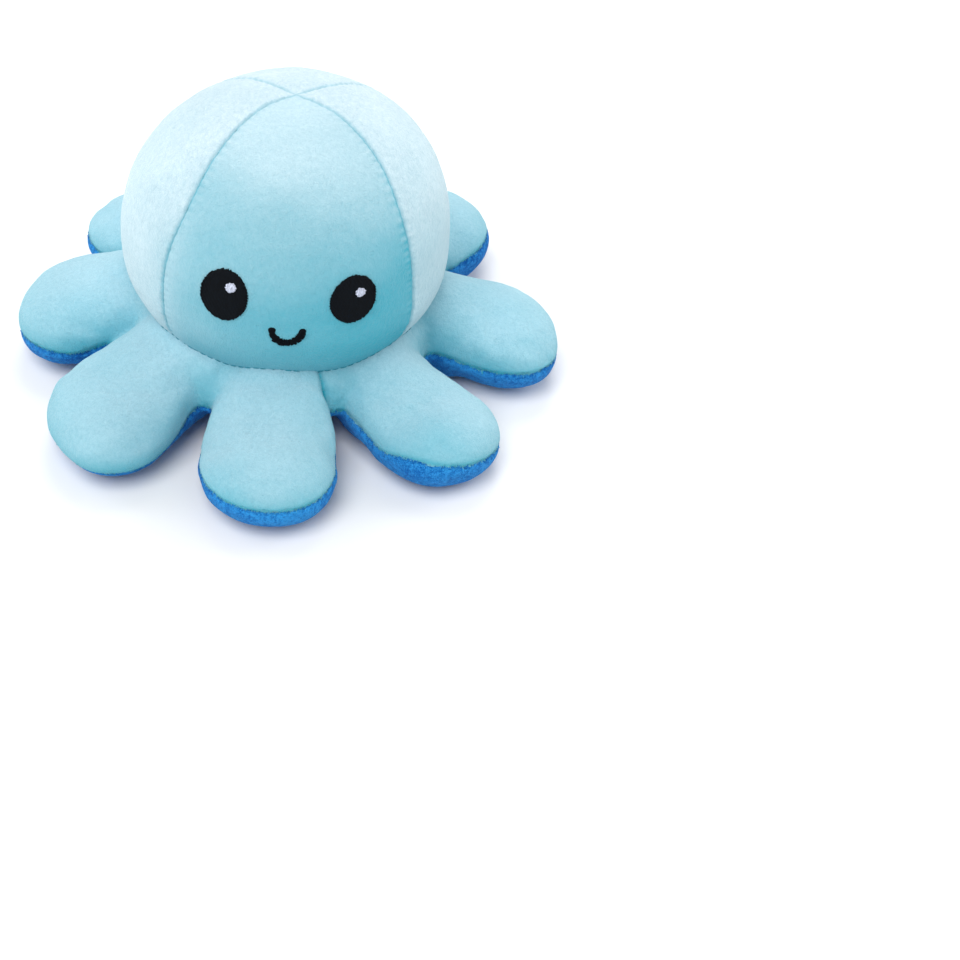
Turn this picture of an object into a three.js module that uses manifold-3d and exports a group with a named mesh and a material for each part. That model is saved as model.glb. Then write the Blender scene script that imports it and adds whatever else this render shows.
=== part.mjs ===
// Reversible plush octopus, standing with its light, smiling side out.
// Millimetres, +Z up, origin on the floor under the middle of the toy, face towards -Y.
// Left and right are those of someone who looks at the face.
import * as THREE from 'three';
import { mergeVertices } from 'three/addons/utils/BufferGeometryUtils.js';
import Module from 'manifold-3d';

// Cloth, seams and clearances
const clothThickness = 1.6;
const seatGap = 0.3;
const pressedFlatDepth = 0.5;
const cutOverrun = 6;
const weldDistance = 0.0001;

// Head
const headWidth = 115;
const headTopHeight = 112;
const headWidestHeight = 54.5;
const headUndersideDrop = 44;
const headUpperRoundness = 2.3;
const headLowerRoundness = 2.2;
const headTurnDegrees = 4;

// Pocket that the head is pushed out through when the toy is turned inside out
const sidePadding = 19.5;
const crownPadding = 24;
const pocketWidestHeight = 48;
const pocketRoundness = 2;
const pocketMouthInset = 10;

// Skirt between the neck and the arms
const skirtHeight = 35;
const skirtRoundness = 2.4;
const webPinchShare = 0.35;
const edgeSeamHeight = 12;
const webCornerTrim = 0.8;
const socketLipSetback = 1.5;

// Arms
const armNames = ['front', 'front_right', 'right', 'back_right', 'back', 'back_left', 'left', 'front_left'];
const armSpan = 200;
const armWidth = 48;
const armThickness = 26;
const armRootTuck = 10;
const armRootRoundness = 3;
const armTipRoundness = 2.1;
const armSectionRoundness = 2.1;
const armTipWideningShare = 0.05;
const hingeLineOverhang = 0.5;
const rootBallThickness = 30;
const webHalfThickness = 1.7;

// Embroidery of both faces
const threadRise = 0.8;
const glintRise = 0.6;
const eyeWidth = 16.4;
const glintWidth = 4;
const glintSideOffset = 2.6;
const glintRaise = 2.8;
const mouthThreadWidth = 2;

// Smiling face on the head
const smilingEyeHeight = 19;
const smilingEyeCentreHeight = 67.5;
const smilingEyeSpacing = 44;
const smileWidth = 11;
const smileDepth = 5.4;
const smileEndHeight = 57;

// Sulky face on the front wall of the pocket
const sulkyEyeHeight = 14.6;
const sulkyEyeRoundness = 2.3;
const sulkyEyeBrowHeight = 58;
const sulkyEyeBrowSlope = 2.4;
const sulkyEyeSpacing = 33;
const sulkyGlintDrop = 4.6;
const frownWidth = 11.6;
const frownDepth = 5.6;
const frownEndHeight = 31;

// Facets
const headSegments = 32;
const pocketSegments = 24;
const skirtSegments = 32;
const domeUpperSteps = 6;
const domeLowerSteps = 4;
const innerDomeUpperSteps = 4;
const innerDomeLowerSteps = 3;
const skirtSteps = 12;
const innerSkirtSteps = 6;
const armSegments = 14;
const armRings = 9;
const innerArmSegments = 10;
const innerArmRings = 6;
const ballSegments = 12;
const ballRings = 6;
const eyeSegments = 12;
const glintSegments = 8;
const bowSegments = 8;
const capSegments = 4;

// Worked out from the sizes above
const quarterTurn = Math.PI / 2;
const armStep = (2 * Math.PI) / armNames.length;
const headRadius = headWidth / 2;
const headTurn = THREE.MathUtils.degToRad(headTurnDegrees);
const pocketRadius = headRadius - sidePadding;
const mouthRadius = pocketRadius - pocketMouthInset;
const hingeRadius = headRadius + hingeLineOverhang;
const socketApothem = hingeRadius - socketLipSetback;
const webCornerRadius = hingeRadius / Math.cos(armStep / 2) - webCornerTrim;
const rootBallRadius = rootBallThickness / 2;
const rootBallHalfWidth = hingeRadius * Math.tan(armStep / 2) - webHalfThickness;
const rootBallHeight = rootBallRadius - pressedFlatDepth;
const armHeight = armThickness / 2 - pressedFlatDepth;
const armReach = armSpan / 2 - hingeRadius;
const armHalfLength = (armReach + armRootTuck) / 2;
const skirtMiddleRadius = (mouthRadius + webCornerRadius) / 2;
const skirtHalfWidth = (webCornerRadius - mouthRadius) / 2;
const skirtHalfHeight = (skirtHeight + pressedFlatDepth) / 2;
const skirtMiddleHeight = (skirtHeight - pressedFlatDepth) / 2;
const eyeTurn = smilingEyeSpacing / 2 / headRadius;
const sulkyEyeTurn = sulkyEyeSpacing / 2 / pocketRadius;
const reach = armSpan;

// Finishes, from the photograph
const finishes = {
  lightPlush: { color: 0x9fd6e8, roughness: 0.95, metalness: 0 },
  darkPlush: { color: 0x1f74cb, roughness: 0.95, metalness: 0 },
  stuffing: { color: 0xf2f1ec, roughness: 1, metalness: 0 },
  blackThread: { color: 0x15191f, roughness: 0.6, metalness: 0 },
  whiteThread: { color: 0xe6e8f2, roughness: 0.6, metalness: 0 },
};

const wasm = await Module();
wasm.setup();

// A closed geometry as a solid that can be joined and cut
function solidOf(geometry) {
  const bare = geometry.clone();
  bare.deleteAttribute('normal');
  bare.deleteAttribute('uv');
  const welded = mergeVertices(bare, weldDistance);
  const vertProperties = welded.attributes.position.array;
  const triVerts = new Uint32Array(welded.index.array);
  return new wasm.Manifold(new wasm.Mesh({ numProp: 3, vertProperties, triVerts }));
}

// A solid back as a geometry
function geometryOf(solid) {
  const { vertProperties, triVerts } = solid.getMesh();
  const geometry = new THREE.BufferGeometry();
  geometry.setAttribute('position', new THREE.BufferAttribute(new Float32Array(vertProperties), 3));
  geometry.setIndex(new THREE.BufferAttribute(new Uint32Array(triVerts), 1));
  geometry.computeVertexNormals();
  return geometry;
}

function addPiece(group, name, solid, finish) {
  const mesh = new THREE.Mesh(geometryOf(solid), new THREE.MeshStandardMaterial(finishes[finish]));
  mesh.name = name;
  group.add(mesh);
}

// A profile of [radius, height] points turned about the upright axis
function turned(profile, segments) {
  const points = profile.map(([radius, height]) => new THREE.Vector2(radius, height));
  return solidOf(new THREE.LatheGeometry(points, segments).rotateX(quarterTurn));
}

// An upright box from low to high corner
function boxBetween(low, high) {
  const size = new THREE.Vector3().subVectors(high, low);
  const middle = new THREE.Vector3().addVectors(low, high).multiplyScalar(1 / 2);
  return solidOf(new THREE.BoxGeometry(size.x, size.y, size.z).translate(middle.x, middle.y, middle.z));
}

function aboveHeight(height) {
  return boxBetween(new THREE.Vector3(-reach, -reach, height), new THREE.Vector3(reach, reach, reach));
}

function belowHeight(height) {
  return boxBetween(new THREE.Vector3(-reach, -reach, -reach), new THREE.Vector3(reach, reach, height));
}

function postWithin(radius, low, high) {
  return turned([[0, low], [radius, low], [radius, high], [0, high]], headSegments);
}

// The power of a sine or cosine that makes an ellipse squarer as its roundness grows past 2
function squared(value, roundness) {
  return Math.sign(value) * Math.abs(value) ** (2 / roundness);
}

// A stuffed dome: round about its widest height, grown or shrunk by an offset, cut off at its foot
function domeProfile(dome, offset, footHeight, lowerSteps, upperSteps) {
  const radius = dome.radius + offset;
  const drop = dome.drop + offset;
  const rise = dome.topHeight + offset - dome.widestHeight;
  const footShare = Math.min(1, (dome.widestHeight - footHeight) / drop);
  const footAngle = Math.asin(footShare ** (dome.lowerRoundness / 2));
  const profile = [[0, Math.max(footHeight, dome.widestHeight - drop)]];
  for (let step = lowerSteps; step > 0; step -= 1) {
    const angle = (footAngle * step) / lowerSteps;
    const across = radius * squared(Math.cos(angle), dome.lowerRoundness);
    profile.push([across, dome.widestHeight - drop * squared(Math.sin(angle), dome.lowerRoundness)]);
  }
  for (let step = 0; step < upperSteps; step += 1) {
    const angle = (quarterTurn * step) / upperSteps;
    const across = radius * squared(Math.cos(angle), dome.upperRoundness);
    profile.push([across, dome.widestHeight + rise * squared(Math.sin(angle), dome.upperRoundness)]);
  }
  profile.push([0, dome.widestHeight + rise]);
  return profile;
}

const headDome = {
  radius: headRadius,
  topHeight: headTopHeight,
  widestHeight: headWidestHeight,
  drop: headUndersideDrop,
  upperRoundness: headUpperRoundness,
  lowerRoundness: headLowerRoundness,
};

// The pocket narrows downwards to its mouth, which is narrowest half way up the skirt
const mouthShare = (1 - (mouthRadius / pocketRadius) ** pocketRoundness) ** (1 / pocketRoundness);
const pocketDome = {
  radius: pocketRadius,
  topHeight: headTopHeight - crownPadding,
  widestHeight: pocketWidestHeight,
  drop: (pocketWidestHeight - skirtMiddleHeight) / mouthShare,
  upperRoundness: pocketRoundness,
  lowerRoundness: pocketRoundness,
};

function headSolid(offset) {
  const profile = domeProfile(headDome, offset, skirtMiddleHeight, domeLowerSteps, domeUpperSteps);
  return turned(profile, headSegments);
}

function headLining(offset) {
  const profile = domeProfile(headDome, offset, skirtMiddleHeight, innerDomeLowerSteps, innerDomeUpperSteps);
  return turned(profile, headSegments);
}

function pocketSolid(offset, footHeight) {
  const profile = domeProfile(pocketDome, offset, footHeight, innerDomeLowerSteps, innerDomeUpperSteps);
  return turned(profile, pocketSegments);
}

// The plump ring between pocket mouth and arms, grown or shrunk by an offset
function skirtSolid(offset, steps) {
  const profile = [];
  for (let step = 0; step <= steps; step += 1) {
    const angle = (2 * Math.PI * step) / steps;
    const across = (skirtHalfWidth + offset) * squared(Math.cos(angle), skirtRoundness);
    const up = (skirtHalfHeight + offset) * squared(Math.sin(angle), skirtRoundness);
    profile.push(new THREE.Vector2(skirtMiddleRadius + across, skirtMiddleHeight + up));
  }
  return solidOf(pinchedBetweenArms(new THREE.LatheGeometry(profile, skirtSegments).rotateX(quarterTurn)));
}

// Outwards the ring grows thinner between the arms, so that each arm runs up to the neck as a lobe
function pinchedBetweenArms(ring) {
  const spots = ring.attributes.position;
  for (let index = 0; index < spots.count; index += 1) {
    const [x, y] = [spots.getX(index), spots.getY(index)];
    const outwards = Math.min(1, Math.max(0, (Math.hypot(x, y) - skirtMiddleRadius) / skirtHalfWidth));
    const betweenArms = (1 - Math.cos(armNames.length * Math.atan2(y, x))) / 2;
    const thinning = 1 - webPinchShare * outwards * betweenArms;
    spots.setZ(index, skirtMiddleHeight + (spots.getZ(index) - skirtMiddleHeight) * thinning);
  }
  return ring;
}

// The arm's root, a ball drawn out along the hinge axis, which turns in the skirt's socket
function rootBall(roundGap, endGap, swell) {
  const across = (rootBallRadius + roundGap) * swell;
  const ball = new THREE.SphereGeometry(1, ballSegments, ballRings);
  return solidOf(ball.scale(across, rootBallHalfWidth + endGap, across).translate(0, 0, rootBallHeight));
}

// The arm's plump paddle: a sphere drawn out along the arm, squarer at its root and round at its tip
function paddle(offset, segments, rings) {
  const geometry = new THREE.SphereGeometry(1, segments, rings).rotateZ(-quarterTurn);
  const spots = geometry.attributes.position;
  const spot = new THREE.Vector3();
  for (let index = 0; index < spots.count; index += 1) {
    spot.fromBufferAttribute(spots, index);
    const ring = Math.hypot(spot.y, spot.z);
    const roundness = spot.x < 0 ? armRootRoundness : armTipRoundness;
    const along = squared(spot.x, roundness);
    const plumpness = squared(ring, roundness) * (1 + armTipWideningShare * along);
    const side = ring > 0 ? squared(spot.y / ring, armSectionRoundness) : 0;
    const up = ring > 0 ? squared(spot.z / ring, armSectionRoundness) : 0;
    spot.set(
      armReach - armHalfLength + (armHalfLength + offset) * along,
      (armWidth / 2 + offset) * plumpness * side,
      armHeight + (armThickness / 2 + offset) * plumpness * up,
    );
    spots.setXYZ(index, spot.x, spot.y, spot.z);
  }
  return solidOf(geometry);
}

// One arm, made along +X from its hinge at the origin: upper cloth, lower cloth and the stuffing inside
function armPieces() {
  const filling = -clothThickness;
  const form = rootBall(0, 0, 1).add(paddle(0, armSegments, armRings));
  const bag = form.subtract(paddle(filling, innerArmSegments, innerArmRings));
  const onFloor = aboveHeight(0);
  return {
    top: bag.intersect(aboveHeight(edgeSeamHeight + seatGap / 2)),
    under: bag.intersect(belowHeight(edgeSeamHeight - seatGap / 2)).intersect(onFloor),
    stuffing: paddle(filling - seatGap, innerArmSegments, innerArmRings),
  };
}

function addArms(toy) {
  const { top, under, stuffing } = armPieces();
  armNames.forEach((name, index) => {
    const arm = new THREE.Group();
    const heading = index * armStep - quarterTurn;
    arm.rotation.z = heading;
    arm.position.set(hingeRadius * Math.cos(heading), hingeRadius * Math.sin(heading), 0);
    addPiece(arm, `arm_${name}_top_panel`, top, 'lightPlush');
    addPiece(arm, `arm_${name}_under_panel`, under, 'darkPlush');
    addPiece(arm, `arm_${name}_stuffing`, stuffing, 'stuffing');
    toy.add(arm);
  });
}

// What the arms take out of the skirt: it ends in flats just inside the hinge lines, with a socket in each
function makeRoomForArms(solid) {
  const cornerRadius = socketApothem / Math.cos(armStep / 2);
  const block = new THREE.CylinderGeometry(cornerRadius, cornerRadius, 2 * reach, armNames.length);
  const flats = solidOf(block.rotateX(quarterTurn).rotateZ(armStep / 2));
  const roundSwell = 1 / Math.cos(Math.PI / ballSegments);
  const socket = rootBall(seatGap, seatGap, roundSwell).translate([hingeRadius, 0, 0]);
  let result = solid.intersect(flats);
  armNames.forEach((name, index) => {
    const degrees = THREE.MathUtils.radToDeg(index * armStep);
    result = result.subtract(socket.rotate([0, 0, degrees]));
  });
  return result;
}

// Skirt cloth: the light upper side from the neck to the edge seam, the dark under side on to the mouth
function addSkirt(toy) {
  const cloth = skirtSolid(0, skirtSteps).subtract(skirtSolid(-clothThickness, innerSkirtSteps));
  const underHead = headLining(-clothThickness).add(postWithin(skirtMiddleRadius, -cutOverrun, skirtHeight));
  const top = cloth.intersect(aboveHeight(edgeSeamHeight + seatGap / 2)).subtract(underHead);
  const mouthWall = postWithin(skirtMiddleRadius, -cutOverrun, skirtMiddleHeight - seatGap / 2);
  const lower = belowHeight(edgeSeamHeight - seatGap / 2).add(mouthWall);
  const under = cloth.intersect(lower).intersect(aboveHeight(0));
  addPiece(toy, 'skirt_top_panel', makeRoomForArms(top), 'lightPlush');
  addPiece(toy, 'skirt_under_panel', makeRoomForArms(under), 'darkPlush');
}

// A quarter of the space about the upright axis, half a seam gap short of its neighbours
function quarterOf(turn) {
  const low = new THREE.Vector3(seatGap / 2, seatGap / 2, -cutOverrun);
  const quarter = boxBetween(low, new THREE.Vector3(reach, reach, reach));
  return quarter.rotate([0, 0, THREE.MathUtils.radToDeg(turn - quarterTurn - quarterTurn / 2)]);
}

// Four gores sewn together on seams that run from crown to foot
function addGores(toy, prefix, shell, finish) {
  ['front', 'right', 'back', 'left'].forEach((side, index) => {
    const gore = shell.intersect(quarterOf(headTurn + index * quarterTurn));
    addPiece(toy, `${prefix}_${side}_panel`, gore, finish);
  });
}

function addHead(toy) {
  const cloth = headSolid(0).subtract(headLining(-clothThickness));
  const skirt = skirtSolid(seatGap, skirtSteps).add(postWithin(skirtMiddleRadius, -cutOverrun, skirtHeight));
  addGores(toy, 'head', cloth.subtract(skirt), 'lightPlush');
}

function addPocket(toy) {
  const foot = skirtMiddleHeight + seatGap / 2;
  const cloth = pocketSolid(clothThickness, foot).subtract(pocketSolid(0, foot - cutOverrun));
  addGores(toy, 'pocket', cloth, 'darkPlush');
}

// All the loose stuffing between the two heads and inside the skirt, in one mass
function addBodyStuffing(toy) {
  const inset = -(clothThickness + seatGap);
  const mouth = postWithin(mouthRadius - inset, -cutOverrun, skirtMiddleHeight + cutOverrun);
  const hollow = pocketSolid(-inset, skirtMiddleHeight).add(mouth);
  const mass = headLining(inset).add(skirtSolid(inset, innerSkirtSteps)).subtract(hollow);
  addPiece(toy, 'body_stuffing', makeRoomForArms(mass), 'stuffing');
}

// An embroidered patch: an outline facing -Y, turned to its place and kept between two offsets of a form
function patch(outline, turn, height, surfaceAt, low, high) {
  const block = new THREE.ExtrudeGeometry(outline, { depth: headWidth, bevelEnabled: false });
  const column = solidOf(block.rotateX(quarterTurn).rotateZ(turn).translate(0, 0, height));
  return column.intersect(surfaceAt(high).subtract(surfaceAt(low)));
}

function ovalOutline(width, height, segments) {
  const oval = new THREE.EllipseCurve(0, 0, width / 2, height / 2, 0, 2 * Math.PI);
  return new THREE.Shape(oval.getPoints(segments).slice(0, segments));
}

// Half an oval under a straight brow that slopes down by a set amount towards its inner end
function sulkyEyeOutline(innerSide) {
  const half = eyeWidth / 2;
  const slope = (sulkyEyeBrowSlope / 2) * innerSide;
  const outline = new THREE.Shape();
  outline.moveTo(half, -slope);
  outline.lineTo(-half, slope);
  for (let step = 1; step < eyeSegments; step += 1) {
    const angle = Math.PI + (Math.PI * step) / eyeSegments;
    const across = half * squared(Math.cos(angle), sulkyEyeRoundness);
    const tilt = (-slope * across) / half;
    outline.lineTo(across, sulkyEyeHeight * squared(Math.sin(angle), sulkyEyeRoundness) + tilt);
  }
  outline.closePath();
  return outline;
}

// A line of satin stitches bent into a bow: a smile when it hangs down, a frown when it stands up
function bowOutline(width, depth, upwards) {
  const half = mouthThreadWidth / 2;
  const end = width / 2;
  const [from, to] = upwards ? [0, Math.PI] : [Math.PI, 2 * Math.PI];
  const lastEnd = upwards ? -end : end;
  const edges = [
    new THREE.EllipseCurve(0, 0, end + half, depth + half, from, to),
    new THREE.EllipseCurve(lastEnd, 0, half, half, to, to + Math.PI),
    new THREE.EllipseCurve(0, 0, end - half, depth - half, to, from, true),
    new THREE.EllipseCurve(-lastEnd, 0, half, half, from - Math.PI, from),
  ];
  const [outer, lastCap, inner, firstCap] = edges.map((edge, index) => {
    const segments = index % 2 ? capSegments : bowSegments;
    return edge.getPoints(segments).slice(0, segments);
  });
  return new THREE.Shape([...outer, ...lastCap, ...inner, ...firstCap]);
}

// Eyes, glints and mouth of the light face, which stand proud of the head's front gore
function addSmilingFace(toy) {
  const threadTop = seatGap + threadRise;
  const glintFoot = threadTop + seatGap;
  const sew = (outline, turn, height, low, high) =>
    patch(outline, headTurn + turn, height, headSolid, low, high);
  const eyeOutline = ovalOutline(eyeWidth, smilingEyeHeight, eyeSegments);
  const glintOutline = ovalOutline(glintWidth, glintWidth, glintSegments);
  const glintTurn = glintSideOffset / headRadius;
  const glintHeight = smilingEyeCentreHeight + glintRaise;
  [['left', -1], ['right', 1]].forEach(([side, sign]) => {
    const turn = sign * eyeTurn;
    const eye = sew(eyeOutline, turn, smilingEyeCentreHeight, seatGap, threadTop);
    const glint = sew(glintOutline, turn + glintTurn, glintHeight, glintFoot, glintFoot + glintRise);
    addPiece(toy, `smiling_${side}_eye`, eye, 'blackThread');
    addPiece(toy, `smiling_${side}_glint`, glint, 'whiteThread');
  });
  const mouth = sew(bowOutline(smileWidth, smileDepth, false), 0, smileEndHeight, seatGap, threadTop);
  addPiece(toy, 'smiling_mouth', mouth, 'blackThread');
}

// The same on the pocket's front wall, where the face looks into the pocket
function addSulkyFace(toy) {
  const threadTop = -(seatGap + threadRise);
  const glintFoot = threadTop - seatGap;
  const wall = (offset) => pocketSolid(offset, skirtMiddleHeight);
  const sew = (outline, turn, height, low, high) =>
    patch(outline, headTurn + turn, height, wall, low, high);
  const glintOutline = ovalOutline(glintWidth, glintWidth, glintSegments);
  const glintTurn = glintSideOffset / pocketRadius;
  const glintHeight = sulkyEyeBrowHeight - sulkyGlintDrop;
  [['left', -1], ['right', 1]].forEach(([side, sign]) => {
    const turn = sign * sulkyEyeTurn;
    const eye = sew(sulkyEyeOutline(-sign), turn, sulkyEyeBrowHeight, threadTop, -seatGap);
    const glint = sew(glintOutline, turn + glintTurn, glintHeight, glintFoot - glintRise, glintFoot);
    addPiece(toy, `sulky_${side}_eye`, eye, 'blackThread');
    addPiece(toy, `sulky_${side}_glint`, glint, 'whiteThread');
  });
  const mouth = sew(bowOutline(frownWidth, frownDepth, true), 0, frownEndHeight, threadTop, -seatGap);
  addPiece(toy, 'sulky_mouth', mouth, 'blackThread');
}

const octopus = new THREE.Group();
addHead(octopus);
addPocket(octopus);
addBodyStuffing(octopus);
addSkirt(octopus);
addArms(octopus);
addSmilingFace(octopus);
addSulkyFace(octopus);

export default octopus;
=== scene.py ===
import math
from itertools import product

import bpy
import numpy as np
from mathutils import Matrix, Vector


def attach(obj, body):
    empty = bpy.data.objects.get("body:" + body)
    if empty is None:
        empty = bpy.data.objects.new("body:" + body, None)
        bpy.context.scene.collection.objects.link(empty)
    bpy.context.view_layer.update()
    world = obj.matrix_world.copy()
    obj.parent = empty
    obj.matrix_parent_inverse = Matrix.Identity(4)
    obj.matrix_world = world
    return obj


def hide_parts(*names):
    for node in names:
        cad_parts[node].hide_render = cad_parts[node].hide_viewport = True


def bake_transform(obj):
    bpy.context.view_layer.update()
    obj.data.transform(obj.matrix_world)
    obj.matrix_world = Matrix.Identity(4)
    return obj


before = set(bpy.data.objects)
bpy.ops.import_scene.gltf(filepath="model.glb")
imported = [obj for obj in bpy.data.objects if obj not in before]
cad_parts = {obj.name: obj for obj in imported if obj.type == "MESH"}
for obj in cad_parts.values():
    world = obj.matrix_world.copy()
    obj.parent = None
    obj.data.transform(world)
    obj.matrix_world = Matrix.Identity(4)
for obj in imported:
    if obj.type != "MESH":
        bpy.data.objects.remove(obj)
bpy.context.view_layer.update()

# Light head: four gores of light blue velour, sewn edge to edge on seams that run from the crown to the neck,
# and stuffed until each gore swells a little between its seams. Sizes are in millimetres, turns in degrees,
# and a turn goes from the front (-Y) towards the right of someone who looks at the face.
MM = 0.001
HEAD_RADIUS = 57.8
HEAD_WAIST = 54.5
HEAD_RISE = 56.2
HEAD_DROP = 42.2
HEAD_UPPER_ROUNDNESS = 2.28
HEAD_LOWER_ROUNDNESS = 2.25
HEAD_FOOT = 30.0
CROWN_LEAN = 2.6
LEAN_FROM = 60.0
CHIN_TUCK = 1.8
TUCK_BELOW = 95.0
CROWN_SLIP = 4.5
SLIP_FROM = 84.0
# turn of each seam at distances down the cloth from the crown, from the front left round to the right
SEAM_PLACES = (0, 12, 28, 45, 120)
HEAD_SEAMS = (
    (-57.0, -53.5, -44.5, -42.3, -44.5),
    (61.0, 59.0, 53.0, 50.3, 53.6),
    (128.0, 130.0, 133.0, 136.0, 138.0),
    (235.0, 231.5, 228.0, 227.0, 226.0),
)
GORE_SWELL = 0.55
SWELL_REACH = 15.0
SEAM_DEPTH = 0.65
SEAM_WIDTH = 0.62
PUCKER = 0.14
PUCKER_LENGTH = 2.9
PUCKER_LONG = 7.3
PUCKER_PLACE = 1.6
CROWN_DIMPLE = 0.3
CLOTH = 1.2
GORE_STEP = 0.75
SEAM_SHADE = 0.45
SEAM_SHADE_WIDTH = 0.42
FRONT_SHADE = 0.93
SIDE_SHADE = 0.38
NAP_SHADE = 0.09
HIDDEN_SEAM_HEIGHT = 92.0
SIDES = ("front", "right", "back", "left")


def smooth(share):
    """From 0 to 1 with soft ends."""
    share = np.clip(share, 0, 1)
    return share * share * (3 - 2 * share)


def lumps(spots, length, seed):
    """Soft random heights from -1 to 1 that change over about one length."""
    table = np.random.default_rng(seed).uniform(-1, 1, 4096)
    at = spots / length
    cell = np.floor(at).astype(np.int64)
    part = at - cell
    part = part * part * (3 - 2 * part)
    total = np.zeros(len(spots))
    for corner in product((0, 1), repeat=3):
        x, y, z = (cell + corner).T
        weight = np.where(corner, part, 1 - part).prod(1)
        total += weight * table[(x * 73856093 ^ y * 19349663 ^ z * 83492791) % 4096]
    return total


def hill(off, width):
    """1 at no distance, falling away softly over a width."""
    return np.exp(-((off / width) ** 2))


class Dome:
    """A stuffed dome as its outline from the crown down, evenly spaced along the cloth."""

    def __init__(self, radius, waist, rise, drop, upper, lower, foot):
        self.form = radius, waist, rise, drop, upper, lower
        low = np.arcsin(min(1, (waist - foot) / drop) ** (lower / 2))
        turn = np.linspace(0, np.pi / 2 + low, 4000)
        up = np.pi / 2 - turn
        power = 2 / np.where(up > 0, upper, lower)
        height = np.where(up > 0, rise, drop)
        r = radius * np.abs(np.cos(up)) ** power
        r[0] = 0
        z = waist + np.sign(up) * height * np.abs(np.sin(up)) ** power
        self.r, self.z = r, z
        self.along = np.r_[0, np.cumsum(np.hypot(np.diff(r), np.diff(z)))]

    def at_height(self, z):
        return np.interp(-z, -self.z, self.along)

    def place(self, along):
        """Radius and height at a distance from the crown."""
        return np.interp(along, self.along, self.r), np.interp(along, self.along, self.z)

    def ring(self, along):
        """Radius, height and the outward direction (sideways, up) at a distance from the crown."""
        before, after = np.maximum(along - 0.6, 0), np.minimum(along + 0.6, self.along[-1])
        dr, dz = (end - start for start, end in zip(self.place(before), self.place(after)))
        size = np.hypot(dr, dz)
        return *self.place(along), -dz / size, dr / size


head_dome = Dome(
    HEAD_RADIUS, HEAD_WAIST, HEAD_RISE, HEAD_DROP, HEAD_UPPER_ROUNDNESS, HEAD_LOWER_ROUNDNESS, HEAD_FOOT
)


def seam_turn(seam, along):
    """Turn of a seam, with the corners between its places eased."""
    return sum(np.interp(along + ease, SEAM_PLACES, seam) for ease in (-7, -2.5, 2.5, 7)) / 4


def apart(one, two):
    """Angle between turns."""
    return np.abs((one - two + 180) % 360 - 180)


def from_seam(seams, turn, along, r):
    """Distance along the cloth to the nearest seam."""
    off = [apart(turn, seam_turn(seam, along)) for seam in seams]
    return np.radians(np.min(off, 0)) * r


def gored(dome, seams, turn, along, swell, depth, width, seed):
    """How far the sewn cloth stands off its plain dome."""
    r = dome.place(along)[0]
    seam = from_seam(seams, turn, along, r)
    relief = -swell * hill(seam, SWELL_REACH)
    relief -= depth * hill(seam, width) * smooth(along / 5)
    beat = along + 1.3 * np.sin(along / 7 + turn / 40)
    ripple = np.sin(2 * np.pi * beat / PUCKER_LENGTH)
    ripple += 0.6 * np.sin(2 * np.pi * beat / PUCKER_LONG + turn / 30)
    relief += PUCKER * ripple * hill(seam - PUCKER_PLACE, 2) * smooth(along / 8)
    relief -= CROWN_DIMPLE * hill(along, 5)
    a = np.radians(turn)
    places = np.stack([r * np.sin(a), -r * np.cos(a), along], 1)
    relief += 0.5 * lumps(places, 26, seed) + 0.2 * lumps(places, 11, seed + 1)
    return relief + 0.05 * lumps(places, 2.4, seed + 2)


def paired(turn, along):
    """A turn and a distance for every point."""
    return [part.ravel() for part in np.broadcast_arrays(np.asarray(turn, float), np.asarray(along, float))]


def on_head(turn, along, rise=0.0):
    """Points on the light head, for turns from the front and distances from the place where its seams meet.

    The seams meet a little behind the highest point, so the cloth is slid back over the crown.
    """
    turn, along = paired(turn, along)
    relief = gored(head_dome, HEAD_SEAMS, turn, along, GORE_SWELL, SEAM_DEPTH, SEAM_WIDTH, 3) + rise
    r, z = head_dome.place(along)
    a = np.radians(turn)
    ahead, aside = r * np.cos(a) - CROWN_SLIP * smooth((z - SLIP_FROM) / 24), r * np.sin(a)
    rim = head_dome.r.argmax()
    slid = np.interp(np.hypot(ahead, aside), head_dome.r[:rim], head_dome.along[:rim])
    r, z, out, up = head_dome.ring(np.where(z > SLIP_FROM, slid, along))
    a = np.arctan2(aside, ahead)
    reach = r + relief * out
    x = reach * np.sin(a) + CROWN_LEAN * smooth((z - LEAN_FROM) / 45)
    y = -reach * np.cos(a) + CHIN_TUCK * smooth((TUCK_BELOW - z) / 45)
    return np.stack([x, y, z + relief * up], 1)


def grid_faces(rows, columns):
    """Quads over rows of points, wound so that they face out of a dome seen with its crown first."""
    first = np.arange((rows - 1) * columns).reshape(rows - 1, columns)[:, :-1].ravel()
    return np.stack([first, first + columns, first + columns + 1, first + 1], 1)


def unit(rows):
    """Directions made one long."""
    return rows / np.maximum(np.linalg.norm(rows, axis=1), 1e-9)[:, None]


def outward(spots, faces):
    """Directions straight out of the cloth at its points."""
    total = np.zeros_like(spots)
    a, b, c = (spots[faces[:, i]] for i in (0, 1, 2))
    if faces.shape[1] == 4:
        across = np.cross(c - a, spots[faces[:, 3]] - b)
    else:
        across = np.cross(b - a, c - a)
    for i in range(faces.shape[1]):
        for axis in range(3):
            total[:, axis] += np.bincount(faces[:, i], across[:, axis], len(spots))
    return unit(total)


def placed(name, data):
    """A thing in the scene that shows its data: a mesh, a lamp or a camera."""
    thing = bpy.data.objects.new(name, data)
    bpy.context.scene.collection.objects.link(thing)
    return thing


def new_piece(name, points, polygons):
    """A piece whose mesh runs through points given in millimetres."""
    mesh = bpy.data.meshes.new(name)
    mesh.from_pydata((np.asarray(points) * MM).tolist(), [], polygons)
    mesh.polygons.foreach_set("use_smooth", np.ones(len(mesh.polygons), bool))
    return placed(name, mesh)


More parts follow.
